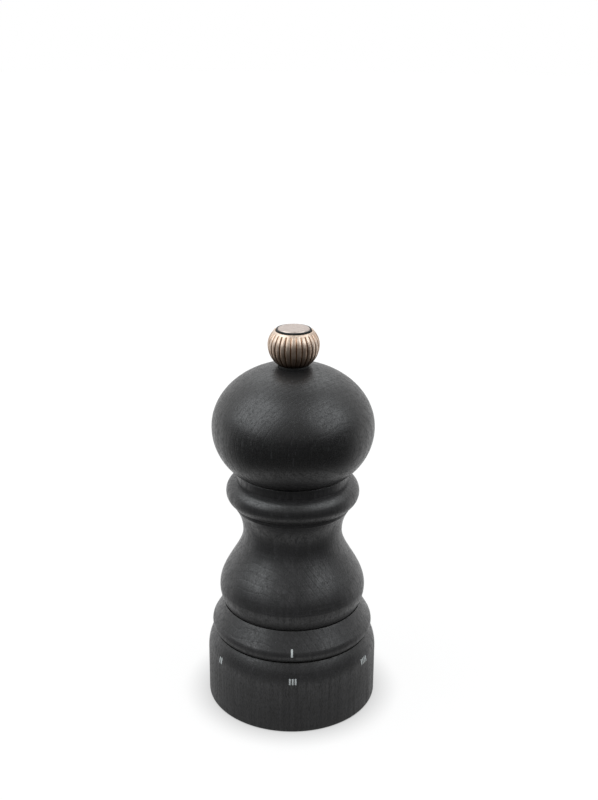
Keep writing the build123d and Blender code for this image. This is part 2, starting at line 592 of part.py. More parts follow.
def make_grinding_rotor():
    foot = rod(ROTOR_FINE_RADIUS - FINE_TOOTH_DEPTH, ROTOR_BOTTOM_Z, FINE_Z)
    fine_end = rotor_tip(FEED_Z)
    fine = toothed_cone((ROTOR_FINE_RADIUS, FINE_Z), (fine_end, FEED_Z), FINE_TWIST,
                        ROTOR_FINE_TEETH, -FINE_TOOTH_DEPTH)
    collar_z = ROTOR_TOP_Z - ROTOR_COLLAR_HEIGHT
    feed = toothed_cone((fine_end, FEED_Z), (fine_end - ROTOR_TOP_INSET, collar_z), FEED_TWIST,
                        ROTOR_FEED_TEETH, -FEED_TOOTH_DEPTH)
    collar = rod(ROTOR_COLLAR_RADIUS, collar_z, ROTOR_TOP_Z)
    bore = bar(SQUARE_HOLE, SQUARE_HOLE, ROTOR_BOTTOM_Z, ROTOR_TOP_Z)
    return foot + fine + feed + collar - bore


def make_grinding_stator():
    """Toothed ring whose tips stay the grinding gap outside the rotor's tips."""
    blank = rod(STATOR_RADIUS, STATOR_BOTTOM_Z, STATOR_TOP_Z)
    fine_low = rotor_tip(STATOR_BOTTOM_Z) + GRIND_GAP
    fine_high = rotor_tip(FEED_Z) + GRIND_GAP
    fine = toothed_cone((fine_low, STATOR_BOTTOM_Z), (fine_high, FEED_Z), FINE_TWIST,
                        STATOR_FINE_TEETH, FINE_TOOTH_DEPTH)
    feed = toothed_cone((fine_high, FEED_Z), (STATOR_MOUTH_RADIUS, STATOR_TOP_Z), FEED_TWIST,
                        STATOR_FEED_TEETH, FEED_TOOTH_DEPTH)
    return blank - fine - feed


def make_stator_retaining_ring():
    outer = STATOR_RADIUS + STATOR_RING_DEPTH
    return split_ring(outer, STATOR_RADIUS - STATOR_RING_WIDTH, STATOR_RING_Z + SEAT_CLEARANCE,
                      STATOR_RING_THICKNESS - SEAT_CLEARANCE, STATOR_RING_MOUTH)


def leaf_place():
    """Frame of the click spring: X outward through the middle of its chord, Y towards its nose."""
    return Rot(0, 0, SCREW_FIRST_ANGLE + LEAF_HALF_ANGLE)


def leaf_chord_radius():
    return sqrt(SCREW_PITCH_RADIUS ** 2 - (LEAF_SPAN / 2) ** 2)


def leaf_tab(length, clearance):
    """Flat end of the click spring, let into the underside of the housing's flange."""
    top_z = FLANGE_Z + LEAF_THICKNESS
    strip = bar(LEAF_WIDTH + 2 * clearance, length, FLANGE_Z, top_z)
    strip = leaf_place() * Pos(leaf_chord_radius(), (length - LEAF_SPAN) / 2, 0) * strip
    pad = Pos(SCREW_PITCH_RADIUS, 0, 0) * rod(SCREW_HEAD_RADIUS + clearance, FLANGE_Z, top_z)
    return strip + Rot(0, 0, SCREW_FIRST_ANGLE) * pad


def make_mechanism_housing():
    sleeve = HOUSING_SLEEVE_RADIUS
    seat = HOUSING_SEAT_RADIUS
    hopper = sleeve - HOPPER_WALL
    moulding = turned(
        Polyline((seat, HOUSING_BOTTOM_Z), (sleeve, HOUSING_BOTTOM_Z), (sleeve, STEP_Z)),
        Polyline((sleeve, STEP_Z), (STEP_RADIUS, STEP_Z), (STEP_RADIUS, FLANGE_Z)),
        Polyline((STEP_RADIUS, FLANGE_Z), (FLANGE_RADIUS, FLANGE_Z), (FLANGE_RADIUS, BODY_Z)),
        Polyline((FLANGE_RADIUS, BODY_Z), (sleeve, BODY_Z), (sleeve, BRIDGE_Z)),
        Polyline((sleeve, BRIDGE_Z), (hopper, BRIDGE_Z), (STATOR_MOUTH_RADIUS, STATOR_TOP_Z)),
        Polyline((STATOR_MOUTH_RADIUS, STATOR_TOP_Z), (seat, STATOR_TOP_Z), (seat, HOUSING_BOTTOM_Z)),
    )
    groove_top_z = RETAINER_Z + RETAINER_THICKNESS
    moulding = moulding - tube(FLANGE_RADIUS, RETAINER_GROOVE_RADIUS, RETAINER_Z, groove_top_z)
    ring_groove = STATOR_RADIUS + STATOR_RING_DEPTH + SEAT_CLEARANCE
    moulding = moulding - rod(ring_groove, STATOR_RING_Z, STATOR_BOTTOM_Z)
    hole = Pos(SCREW_PITCH_RADIUS, 0, 0) * rod(SCREW_RADIUS + SEAT_CLEARANCE, FLANGE_Z, BODY_Z)
    moulding = moulding - [turn * hole for turn in around(SCREW_COUNT, SCREW_FIRST_ANGLE)]
    return moulding - leaf_tab(2 * LEAF_TAIL, SEAT_CLEARANCE)


def make_housing_screws():
    head = rod(SCREW_HEAD_RADIUS, FLANGE_Z - SCREW_HEAD_THICKNESS, FLANGE_Z)
    shank = rod(SCREW_RADIUS, FLANGE_Z, SCREW_TIP_Z - SEAT_CLEARANCE)
    screw = Pos(SCREW_PITCH_RADIUS, 0, 0) * (head + shank)
    return [turn * screw for turn in around(SCREW_COUNT, SCREW_FIRST_ANGLE)]


def make_ring_retainer():
    inner = RETAINER_GROOVE_RADIUS + SEAT_CLEARANCE
    thickness = RETAINER_THICKNESS - 2 * SEAT_CLEARANCE
    return split_ring(inner + RETAINER_WIDTH, inner, RETAINER_Z + SEAT_CLEARANCE, thickness, RETAINER_MOUTH)


def make_ring_liner():
    flange_inner = HOUSING_SLEEVE_RADIUS + FREE_CLEARANCE
    liner = tube(LINER_RADIUS, LINER_WALL_RADIUS, LINER_BOTTOM_Z, LINER_TOP_Z)
    liner = liner + tube(LINER_RADIUS, flange_inner, LINER_FLANGE_Z, LINER_TOP_Z)
    keyway_top = LINER_BOTTOM_Z + KEYWAY_HEIGHT
    reach = KEY_RADIUS + FREE_CLEARANCE
    width = KEY_WIDTH + 2 * KEY_PLAY
    keyway = Pos(reach / 2, 0, 0) * bar(reach, width, LINER_BOTTOM_Z, keyway_top)
    liner = liner - [turn * keyway for turn in around(ARM_COUNT)]
    length = LINER_RADIUS - STEP_RADIUS
    notch = Rot(0, 90, 0) * Cylinder(NOTCH_RADIUS, length)
    notch_z = LINER_TOP_Z + NOTCH_RADIUS - NOTCH_DEPTH
    notch = Pos(LINER_RADIUS - length / 2, 0, notch_z) * notch
    for setting in range(1, SETTING_COUNT + 1):
        angle = NOSE_ANGLE + (setting - REST_SETTING) * SETTING_ANGLE
        liner = liner - Rot(0, 0, angle) * notch
    return liner


def make_adjuster_spider():
    middle = SPIDER_BORE_RADIUS + SPIDER_RIM_WALL / 2
    key_z = SPIDER_BOTTOM_Z + KEY_RISE
    key_length = KEY_RADIUS - middle
    rim = tube(SPIDER_RIM_RADIUS, SPIDER_BORE_RADIUS, SPIDER_BOTTOM_Z, SPIDER_BOTTOM_Z + SPIDER_RIM_HEIGHT)
    key = bar(key_length, KEY_WIDTH, key_z, key_z + KEY_HEIGHT)
    key = Pos(middle + key_length / 2, 0, 0) * key
    spoke = bar(middle, SPOKE_WIDTH, SPIDER_BOTTOM_Z, SPIDER_BOTTOM_Z + SPOKE_HEIGHT)
    spoke = Pos(middle / 2, 0, 0) * spoke
    hub = rod(SPIDER_HUB_RADIUS, SPIDER_BOTTOM_Z, THRUST_WASHER_Z)
    pin = rod(THRUST_PIN_RADIUS, THRUST_WASHER_Z, ROTOR_BOTTOM_Z - SEAT_CLEARANCE)
    spider = rim + hub + pin
    for turn in around(ARM_COUNT):
        spider = spider + turn * key + turn * spoke
    return spider


def make_thrust_washer():
    return tube(THRUST_WASHER_RADIUS, THRUST_PIN_RADIUS + SEAT_CLEARANCE, THRUST_WASHER_Z, ROTOR_BOTTOM_Z)


def make_click_spring():
    """Leaf clamped under one housing screw, with a rounded nose over the liner's notches."""
    clamp_z = FLANGE_Z + LEAF_THICKNESS / 2
    nose_z = LINER_TOP_Z - NOTCH_DEPTH + NOSE_CLEARANCE + LEAF_THICKNESS / 2
    lift_z = LINER_TOP_Z + NOTCH_DEPTH
    half = LEAF_SPAN / 2
    line = FilletPolyline(
        (-half, clamp_z), (LEAF_TAIL - half, clamp_z), (half - NOTCH_RADIUS, lift_z),
        (half, nose_z), (half + NOTCH_RADIUS, lift_z), radius=LEAF_THICKNESS)
    strip = trace(line, LEAF_THICKNESS)
    inner = leaf_chord_radius() - LEAF_WIDTH / 2
    leaf = extrude(Plane.YZ * strip, LEAF_WIDTH)
    leaf = leaf_place() * Pos(inner, 0, 0) * leaf + leaf_tab(LEAF_TAIL, 0)
    hole = Pos(SCREW_PITCH_RADIUS, 0, 0) * rod(SCREW_RADIUS + SEAT_CLEARANCE, STEP_Z, BODY_Z)
    return leaf - Rot(0, 0, SCREW_FIRST_ANGLE) * hole


PIECES = {
    "turned_head": make_turned_head,
    "head_drive_plate": make_head_drive_plate,
    "drive_plate_screws": make_drive_plate_screws,
    "knob": make_knob,
    "knob_disc": make_knob_disc,
    "knob_thread_insert": make_knob_thread_insert,
    "knob_washer": make_knob_washer,
    "turned_body": make_turned_body,
    "mechanism_housing": make_mechanism_housing,
    "housing_screws": make_housing_screws,
    "upper_bridge": make_upper_bridge,
    "shaft_bush": make_shaft_bush,
    "drive_shaft": make_drive_shaft,
    "shaft_clips": make_shaft_clips,
    "spring_washer": make_spring_washer,
    "rotor_spring": make_rotor_spring,
    "grinding_rotor": make_grinding_rotor,
    "grinding_stator": make_grinding_stator,
    "stator_retaining_ring": make_stator_retaining_ring,
    "thrust_washer": make_thrust_washer,
    "adjuster_spider": make_adjuster_spider,
    "adjusting_ring": make_adjusting_ring,
    "ring_liner": make_ring_liner,
    "ring_retainer": make_ring_retainer,
    "click_spring": make_click_spring,
}

os.makedirs("parts", exist_ok=True)
for name, make in PIECES.items():
    made = make()
    solids = made if isinstance(made, list) else [made]
    piece = Compound(children=[solid for item in solids for solid in item.solids()])
    piece.label = name
    export_step(piece, f"parts/{name}.step")
    print(name, len(piece.solids()), "solids", round(piece.volume, 1), "mm3")
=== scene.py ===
import json
from math import acos, atan2, cos, hypot, pi, radians, sin, sqrt

import bmesh
import bpy
from mathutils import Euler, Matrix, Vector


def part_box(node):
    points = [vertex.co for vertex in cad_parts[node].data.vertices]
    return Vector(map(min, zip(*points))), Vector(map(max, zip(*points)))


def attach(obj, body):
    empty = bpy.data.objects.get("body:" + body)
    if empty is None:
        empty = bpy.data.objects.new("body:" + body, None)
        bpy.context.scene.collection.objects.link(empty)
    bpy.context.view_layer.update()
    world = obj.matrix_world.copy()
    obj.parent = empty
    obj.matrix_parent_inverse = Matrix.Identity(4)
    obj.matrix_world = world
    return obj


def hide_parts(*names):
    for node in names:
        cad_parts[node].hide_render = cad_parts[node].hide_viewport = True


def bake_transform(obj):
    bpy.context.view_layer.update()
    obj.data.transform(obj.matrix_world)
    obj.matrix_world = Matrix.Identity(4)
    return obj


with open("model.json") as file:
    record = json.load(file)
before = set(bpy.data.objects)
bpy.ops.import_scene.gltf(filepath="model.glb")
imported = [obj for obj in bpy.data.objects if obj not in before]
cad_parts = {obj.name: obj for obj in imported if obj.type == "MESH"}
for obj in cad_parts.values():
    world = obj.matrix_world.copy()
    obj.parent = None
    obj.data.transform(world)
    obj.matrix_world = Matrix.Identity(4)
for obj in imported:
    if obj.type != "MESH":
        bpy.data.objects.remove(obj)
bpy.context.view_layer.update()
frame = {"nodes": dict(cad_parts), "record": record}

MM = 0.001

# Base ring and lower bead, in millimetres as (radius, height) where there are two
RING_RADIUS = 26.45
RING_SHOULDER_Z = 15.5
RING_TOP = (24.2, 22.8)
LOWER_BEAD = (25.0, 25.0)
LOWER_BEAD_ROUND = 3.2
GROOVE_LIP = (21.35, 32.02)

# Printed bars, in millimetres and degrees; the shifts are to the right of the front
SETTING_COUNT = 6
SETTING_ANGLE = 57.0
FRONT_SETTING = 3
FRONT_ANGLE = -90.0
MARKS_SHIFT = 1.0
MARK_BOTTOM_Z = 16.7
MARK_HEIGHT = 1.9
MARK_WIDTH = 0.5
MARK_PITCH = 0.88
POINTER_SHIFT = 0.4
POINTER_BOTTOM_Z = 25.3
POINTER_HEIGHT = 2.25
POINTER_WIDTH = 0.6
INK_THICKNESS = 0.02

# Knob and the black ring round its disc, a dark piece that stands for the shade in the gap there
KNOB_Z = 109.14
KNOB_TOP_Z = 119.34
KNOB_MID = (7.65, 115.04)
KNOB_BASE_RADIUS = 4.7
KNOB_RIM = (6.0, 119.04)
KNOB_RIM_TOP = 5.65
KNOB_RIM_DROP = 0.09
KNOB_EDGE = 0.08
KNOB_RECESS_RADIUS = 5.35
KNOB_RECESS_Z = 118.14
KNOB_SOCKET = (4.35, 116.64)
FLUTE_COUNT = 28
FLUTE_DEPTH = 0.30
FLUTE_TOP_Z = 118.98
FLUTE_FADE = 0.4
FLUTE_POWER = 3             # the higher, the wider the ribs between the flutes
SHADE_RING_RADIUS = 5.2
SHADE_RING_BORE = 4.77
SHADE_RING_TOP_Z = 119.86
SHADE_RING_ROUND = 0.12

# Shaft and spring
SHAFT_HALF = 3.0
SHAFT_CORNER = 4.2
SHAFT_BOTTOM_Z = 13.0
SHAFT_SHOULDER_Z = 103.64
SHAFT_TIP_Z = 116.24
CLIP_GROOVES = ((36.24, 37.04), (40.36, 41.16))
CLIP_GROOVE_RADIUS = 3.35
THREAD_RADIUS = 2.95
THREAD_DEPTH = 0.58
THREAD_PITCH = 1.0
THREAD_CHAMFER = 0.6
THREAD_SLOPE = 1.2          # of the flanks, where a plain vee has 1
THREAD_CREST = 0.1          # what the flat crest takes off the flanks
SPRING_WIRE = 0.9
SPRING_TURNS = 5

# Fineness of the added meshes
LATHE_STEPS = 96
FLUTE_STEPS = 14
KNOB_ARC_STEPS = 22
THREAD_ROWS = 14            # per pitch
COIL_STEPS = 48             # per turn
WIRE_SIDES = 12
BAR_ROWS, BAR_COLUMNS = 6, 2
MERGE_DISTANCE = 1e-7
SHARP_ANGLE = 35.0
SHARP_ANGLE_ROUND = 60.0    # on pieces that are round all over

# Stained wood: darkest and lightest stain, and noise scales per metre along X, Y and Z
STAIN = ((0.0085, 0.0082, 0.0085), (0.0150, 0.0146, 0.0150))
FLECK_COLOUR = (0.036, 0.036, 0.038)
WANDER_SCALE = (45, 45, 12)
PORE_SCALE = (3300, 3300, 900)
TURNING_SCALE = (25, 25, 1900)
STREAK_SCALE = (800, 800, 22)
PATCH_SCALE = (90, 90, 60)
FLECK_SCALE = (1500, 1500, 520)
GROWTH_SCALE = 230.0
GROWTH_LEAN = 0.12          # how much the growth rings change along Z
GROWTH_WANDER = 0.008       # how far they wander, in metres
WOOD_SPECULAR = 0.55

# How far the roughness of metal and plastic goes below and above its middle
METAL_SPREAD = (0.06, 0.08)
PLASTIC_SPREAD = (0.05, 0.07)

# The photo's camera, in millimetres and degrees
CAMERA_PLACE = (1.68, -320.0, 212.0)
CAMERA_PITCH = 19.639
CAMERA_ROLL = 0.45
CAMERA_LENS = 51.51
SENSOR = 36.0
CLIP_START = 0.01           # metres

# Slightly cool studio light: place, size and power of each softbox, in metres and watts
LAMP_COLOUR = (0.94, 0.98, 1.0)
LAMP_TARGET = (0, 0, 0.06)
SOFTBOXES = {
    "left_softbox": ((-0.54, -0.16, 0.62), (0.78, 0.78), 5.4),
    "right_softbox": ((0.54, -0.20, 0.62), (0.66, 0.66), 3.3),
    "back_softbox": ((0.0, 0.55, 0.75), (0.9, 0.6), 2.0),
}

# The floor's opening, hidden under the base ring, and its edge, in metres
FLOOR_RADII = (0.023, 3.0)
FLOOR_TINTS = (0.045, 0.055)
FLOOR_ROUGHNESS = 0.9
# The shadow close round the base is painted: an ambient-occlusion term darkens the floor's glow there.
CONTACT_DISTANCE = 0.011    # reach of the shadow close round the base, in metres

# Levels of the floor's glow and the room, each from one (value, level) to another.
# SEEN, RISING and FALLING go by the distance from the axis, BEHIND by Y, all in metres.
# CONTACT, a painted shadow round the base, goes by how open the floor is there, the ROOM levels by a part
# of the direction.
FLOOR_SEEN = ((0.04, 0.94), (0.40, 1.0))
FLOOR_CONTACT = ((0.4, 0.60), (0.95, 1.0))
FLOOR_BEHIND = ((-0.03, 0.02), (0.08, 1.0))
FLOOR_RISING = ((0.042, 0.38), (0.060, 1.0))
FLOOR_FALLING = ((0.060, 1.0), (0.088, 0.02))
ROOM_BACK = ((-0.2, 0.03), (0.5, 1.0))
ROOM_ABOVE = ((0.08, 0.0), (0.40, 0.48))
ROOM_BELOW = ((-0.1, 0.0), (-0.4, 0.9))


# Node helpers

def new_material(name):
    """Empty node material; returns it with its node tree and its Principled shader."""
    material = bpy.data.materials.new(name)
    material.use_nodes = True
    tree = material.node_tree
    tree.nodes.clear()
    output = tree.nodes.new("ShaderNodeOutputMaterial")
    shader = tree.nodes.new("ShaderNodeBsdfPrincipled")
    tree.links.new(shader.outputs["BSDF"], output.inputs["Surface"])
    return material, tree, shader


def node(tree, kind, inputs=None, **settings):
    """Adds a node, sets its properties, and links or sets its inputs."""
    made = tree.nodes.new(kind)
    for key, value in settings.items():
        setattr(made, key, value)
    for key, value in (inputs or {}).items():
        if isinstance(value, bpy.types.NodeSocket):
            tree.links.new(value, made.inputs[key])
        else:
            made.inputs[key].default_value = value
    return made


def object_place(tree, scale, offset=(0, 0, 0)):
    """Object coordinates scaled per axis, for solid patterns."""
    coords = node(tree, "ShaderNodeTexCoord")
    mapping = node(tree, "ShaderNodeMapping", {"Vector": coords.outputs["Object"], "Scale": scale,
                                               "Location": offset})
    return mapping.outputs["Vector"]


def noise(tree, scale, detail, offset=(0, 0, 0), rough=0.5, output="Fac"):
    """Noise in object coordinates scaled per axis."""
    made = node(tree, "ShaderNodeTexNoise", {"Vector": object_place(tree, scale, offset), "Scale": 1.0,
                                             "Detail": detail, "Roughness": rough})
    return made.outputs[output]


def ramp(tree, factor, stops):
    """Colour ramp whose stops are (position, colour or grey)."""
    made = node(tree, "ShaderNodeValToRGB", {"Fac": factor})
    elements = made.color_ramp.elements
    while len(elements) < len(stops):
        elements.new(0.5)
    for element, (position, colour) in zip(elements, stops):
        element.position = position
        grey = isinstance(colour, (int, float))
        element.color = (colour, colour, colour, 1) if grey else (*colour, 1)
    return made.outputs["Color"]


def mix(tree, factor, first, second, blend="MIX"):
    """Mixes two colours."""
    made = node(tree, "ShaderNodeMix", data_type="RGBA", blend_type=blend)
    for key, value in ((0, factor), (6, first), (7, second)):
        if isinstance(value, bpy.types.NodeSocket):
            tree.links.new(value, made.inputs[key])
        else:
            made.inputs[key].default_value = value if key == 0 else (*value, 1)
    return made.outputs[2]


def level(tree, value, span):
    """Clamped straight line from the first (value, level) of a span to the second."""
    (low, low_level), (high, high_level) = span
    made = node(tree, "ShaderNodeMapRange", {"Value": value, "From Min": low, "From Max": high,
                                             "To Min": low_level, "To Max": high_level})
    return made.outputs["Result"]


def combine(tree, operation, *values):
    """One math node over its values."""
    return node(tree, "ShaderNodeMath", dict(enumerate(values)), operation=operation).outputs["Value"]


def bump(tree, height, strength, distance, over=None):
    """Normal of a relief, on top of another relief's normal if there is one."""
    made = node(tree, "ShaderNodeBump", {"Height": height, "Strength": strength, "Distance": distance})
    if over:
        tree.links.new(over, made.inputs["Normal"])
    return made.outputs["Normal"]


def dress(tree, shader, **inputs):
    """Links or sets the shader's inputs, named with underscores for spaces."""
    for key, value in inputs.items():
        socket = shader.inputs[key.replace("_", " ")]
        if isinstance(value, bpy.types.NodeSocket):
            tree.links.new(value, socket)
        else:
            socket.default_value = value


# Materials

def stained_wood(name, pith, seed, tone):
    """Graphite-stained beech, lighter with tone: growth rings round an off-centre pith, pores, flecks."""
    material, tree, shader = new_material(name)
    wander = noise(tree, WANDER_SCALE, 2.0, seed, output="Color")
    place = object_place(tree, (1, 1, GROWTH_LEAN), (-pith[0] * MM, -pith[1] * MM, 0))
    bent = node(tree, "ShaderNodeVectorMath", {0: wander, "Scale": GROWTH_WANDER}, operation="SCALE")
    moved = node(tree, "ShaderNodeVectorMath", {0: place, 1: bent.outputs["Vector"]}, operation="ADD")
    rings = node(tree, "ShaderNodeTexWave", {"Vector": moved.outputs["Vector"], "Scale": GROWTH_SCALE,
                                             "Distortion": 0.8, "Detail": 2.0, "Detail Scale": 1.5},
                 wave_type="RINGS", rings_direction="Z", wave_profile="SAW")
    pores = noise(tree, PORE_SCALE, 2.0, seed, 0.7)
    turning = noise(tree, TURNING_SCALE, 2.0, seed)
    streaks = noise(tree, STREAK_SCALE, 3.0, seed, 0.6)
    patches = noise(tree, PATCH_SCALE, 3.0, seed)
    flecks = noise(tree, FLECK_SCALE, 0.0, seed)
    # tone darkens or lightens the stain per piece: partly the piece's own stain, partly painted shade and
    # painted light
    dark, light = (tuple(tone * part for part in colour) for colour in STAIN)
    base = ramp(tree, patches, [(0.3, dark), (0.7, light)])
    ring_shade = ramp(tree, rings.outputs["Fac"], [(0.0, 0.62), (0.15, 1.0), (0.8, 1.15), (1.0, 0.82)])
    streak_shade = ramp(tree, streaks, [(0.32, 0.58), (0.5, 1.0), (0.68, 1.60)])
    pore_shade = ramp(tree, pores, [(0.30, 0.20), (0.50, 0.95), (0.68, 1.45)])
    turned_shade = ramp(tree, turning, [(0.35, 0.80), (0.65, 1.15)])
    fleck_mask = ramp(tree, flecks, [(0.70, 0.0), (0.78, 0.5)])
    colour = mix(tree, 0.75, base, ring_shade, "MULTIPLY")
    colour = mix(tree, 0.9, colour, streak_shade, "MULTIPLY")
    colour = mix(tree, 0.8, colour, pore_shade, "MULTIPLY")
    colour = mix(tree, 0.7, colour, turned_shade, "MULTIPLY")
    colour = mix(tree, fleck_mask, colour, FLECK_COLOUR)
    shine = mix(tree, 0.6, pore_shade, streak_shade, "MULTIPLY")
    shine = mix(tree, 0.8, shine, ring_shade, "MULTIPLY")
    shine = mix(tree, 1.0, shine, (0.6, 0.6, 0.6), "MULTIPLY")
    rough = ramp(tree, shine, [(0.22, 0.60), (0.58, 0.37), (0.95, 0.28)])
    relief = mix(tree, 0.4, pore_shade, streak_shade)
    relief = mix(tree, 0.3, relief, turned_shade)
    growth = bump(tree, ring_shade, 0.2, 0.0002)
    dress(tree, shader, Base_Color=colour, Roughness=rough, Specular_IOR_Level=WOOD_SPECULAR,
          Normal=bump(tree, relief, 0.22, 0.00007, growth))
    return material


def bronze(name):
    """Aged bronze plating: bright on the ribs, brown patina down in the flutes, with painted shade that
    darkens it towards the foot.
    """
    material, tree, shader = new_material(name)
    depth = node(tree, "ShaderNodeAttribute", attribute_name="flute").outputs["Fac"]
    blotch = noise(tree, (420, 420, 420), 4.0)
    grain = noise(tree, (5000, 5000, 1400), 2.0)
    bright = ramp(tree, blotch, [(0.3, (0.44, 0.325, 0.250)), (0.7, (0.72, 0.600, 0.505))])
    patina = ramp(tree, blotch, [(0.3, (0.17, 0.068, 0.026)), (0.7, (0.36, 0.175, 0.078))])
    mask = ramp(tree, depth, [(0.25, 0.0), (0.70, 1.0)])
    parts = node(tree, "ShaderNodeSeparateXYZ", {0: object_place(tree, (1, 1, 1))})
    height = level(tree, parts.outputs["Z"], ((KNOB_Z * MM, 0.0), (KNOB_TOP_Z * MM, 1.0)))
    # painted shade: the colour darkens from the middle down to the foot, where the knob stands in shadow
    foot_painted_shade = ramp(tree, height, [(0.05, (0.16, 0.12, 0.09)), (0.45, (0.80, 0.77, 0.74)), (0.62, 1.0)])
    colour = mix(tree, 1.0, mix(tree, mask, bright, patina), foot_painted_shade, "MULTIPLY")
    dress(tree, shader, Base_Color=colour, Metallic=1.0, Normal=bump(tree, grain, 0.10, 0.00004),
          Roughness=ramp(tree, grain, [(0.3, 0.38), (0.7, 0.52)]))
    return material


def satin_disc(name):
    """Bronze disc with fine turning marks round its centre."""
    material, tree, shader = new_material(name)
    lines = node(tree, "ShaderNodeTexWave", {"Vector": object_place(tree, (1, 1, 0)), "Scale": 2600.0,
                                             "Distortion": 0.6, "Detail": 2.0},
                 wave_type="RINGS", rings_direction="Z").outputs["Fac"]
    blotch = noise(tree, (700, 700, 700), 3.0)
    colour = ramp(tree, blotch, [(0.3, (0.40, 0.335, 0.300)), (0.7, (0.52, 0.445, 0.405))])
    dress(tree, shader, Base_Color=colour, Metallic=1.0, Normal=bump(tree, lines, 0.12, 0.00002),
          Roughness=ramp(tree, lines, [(0.2, 0.30), (0.8, 0.42)]))
    return material


def metal(name, dark, light, rough, grain=(900, 900, 900)):
    """Plain worked metal with faint tooling grain."""
    material, tree, shader = new_material(name)
    tooling = noise(tree, grain, 4.0)
    smooth, coarse = rough - METAL_SPREAD[0], rough + METAL_SPREAD[1]
    dress(tree, shader, Base_Color=ramp(tree, tooling, [(0.3, dark), (0.7, light)]), Metallic=1.0,
          Roughness=ramp(tree, tooling, [(0.3, smooth), (0.7, coarse)]),
          Normal=bump(tree, tooling, 0.08, 0.00004))
    return material


def moulded(name, dark, light, rough):
    """Moulded plastic with a fine spark-eroded texture."""
    material, tree, shader = new_material(name)
    texture = noise(tree, (3500, 3500, 3500), 2.0)
    cloud = noise(tree, (120, 120, 120), 2.0)
    smooth, coarse = rough - PLASTIC_SPREAD[0], rough + PLASTIC_SPREAD[1]
    dress(tree, shader, Base_Color=ramp(tree, cloud, [(0.3, dark), (0.7, light)]),
          Roughness=ramp(tree, texture, [(0.3, smooth), (0.7, coarse)]),
          Normal=bump(tree, texture, 0.12, 0.00005))
    return material


def ink(name):
    """Pale printing ink, a little uneven over the wood grain."""
    material, tree, shader = new_material(name)
    speckle = noise(tree, (4200, 4200, 1800), 3.0)
    colour = ramp(tree, speckle, [(0.30, (0.42, 0.44, 0.44)), (0.50, (0.55, 0.58, 0.58))])
    dress(tree, shader, Base_Color=colour, Roughness=0.55)
    return material


# Mesh helpers

def add_object(name, bm, material, sharp_angle=SHARP_ANGLE):
    """Links a bmesh as an object in metres, smooth except over sharp edges."""
    bmesh.ops.recalc_face_normals(bm, faces=bm.faces)
    for face in bm.faces:
        face.smooth = True
    for edge in bm.edges:
        edge.smooth = edge.calc_face_angle(0.0) < radians(sharp_angle)
    mesh = bpy.data.meshes.new(name)
    bm.to_mesh(mesh)
    bm.free()
    made = bpy.data.objects.new(name, mesh)
    bpy.context.scene.collection.objects.link(made)
    mesh.materials.append(material)
    return made


def clamp(value):
    return min(1.0, max(0.0, value))


def round_turns(count):
    """Angles of a whole turn in equal steps."""
    return [2 * pi * i / count for i in range(count)]


def on_axis(radius, turn, z):
    """Point in metres at a radius, a turn and a height in millimetres."""
    return Vector((radius * cos(turn) * MM, radius * sin(turn) * MM, z * MM))


def arc_from(start, end, upward, count):
    """Points of the arc that leaves start straight up or down and ends at end, without start."""
    rise = end[1] - start[1]
    run = start[0] - end[0]
    radius = (run * run + rise * rise) / (2 * run)
    sweep = 2 * atan2(run, abs(rise))
    side = 1 if upward else -1
    points = []
    for i in range(1, count + 1):
        angle = sweep * i / count
        points.append((start[0] - radius * (1 - cos(angle)), start[1] + side * radius * sin(angle)))
    return points


def ring_radius(z):
    """Outer radius of the base ring at a height."""
    if z <= RING_SHOULDER_Z:
        return RING_RADIUS
    run = RING_RADIUS - RING_TOP[0]
    rise = RING_TOP[1] - RING_SHOULDER_Z
    curve = (run * run + rise * rise) / (2 * run)
    return RING_RADIUS - curve + sqrt(curve * curve - (z - RING_SHOULDER_Z) ** 2)


def bead_radius(z):
    """Outer radius of the lower bead: an arc above its widest point, then straight to the groove."""
    centre = LOWER_BEAD[0] - LOWER_BEAD_ROUND
    to_lip = (GROOVE_LIP[0] - centre, GROOVE_LIP[1] - LOWER_BEAD[1])
    turn = atan2(to_lip[1], to_lip[0]) - acos(LOWER_BEAD_ROUND / hypot(*to_lip))
    end = (centre + LOWER_BEAD_ROUND * cos(turn), LOWER_BEAD[1] + LOWER_BEAD_ROUND * sin(turn))
    if z <= end[1]:
        return centre + sqrt(LOWER_BEAD_ROUND ** 2 - (z - LOWER_BEAD[1]) ** 2)
    return end[0] + (z - end[1]) * (GROOVE_LIP[0] - end[0]) / (GROOVE_LIP[1] - end[1])


# Pieces

def fluted_radius(radius, z, angle):
    """Radius of the knob with its rounded ribs, and how deep in a flute the point lies (0 to 1)."""
    along = angle * FLUTE_COUNT / (2 * pi)
    across = abs(2 * (along - round(along)))
    fade = clamp((FLUTE_TOP_Z - z) / FLUTE_FADE)
    fade = fade * fade * (3 - 2 * fade)
    depth = fade * across ** FLUTE_POWER
    return radius - FLUTE_DEPTH * depth * radius / KNOB_MID[0], depth


def knob_profile():
    """Closed outline of the knob as (radius, height, fluted)."""
    low = arc_from(KNOB_MID, (KNOB_BASE_RADIUS, KNOB_Z), False, KNOB_ARC_STEPS)
    high = arc_from(KNOB_MID, KNOB_RIM, True, KNOB_ARC_STEPS)
    side = low[::-1] + [KNOB_MID] + high
    crest = [((KNOB_RIM[0] + KNOB_RIM_TOP) / 2 + KNOB_EDGE, KNOB_TOP_Z - KNOB_RIM_DROP),
             (KNOB_RIM_TOP, KNOB_TOP_Z), (KNOB_RECESS_RADIUS + KNOB_EDGE, KNOB_TOP_Z),
             (KNOB_RECESS_RADIUS, KNOB_TOP_Z - KNOB_EDGE), (KNOB_RECESS_RADIUS, KNOB_RECESS_Z),
             (0, KNOB_RECESS_Z), (0, KNOB_SOCKET[1]), KNOB_SOCKET, (KNOB_SOCKET[0], KNOB_Z)]
    return [(r, z, True) for r, z in side] + [(r, z, False) for r, z in crest]


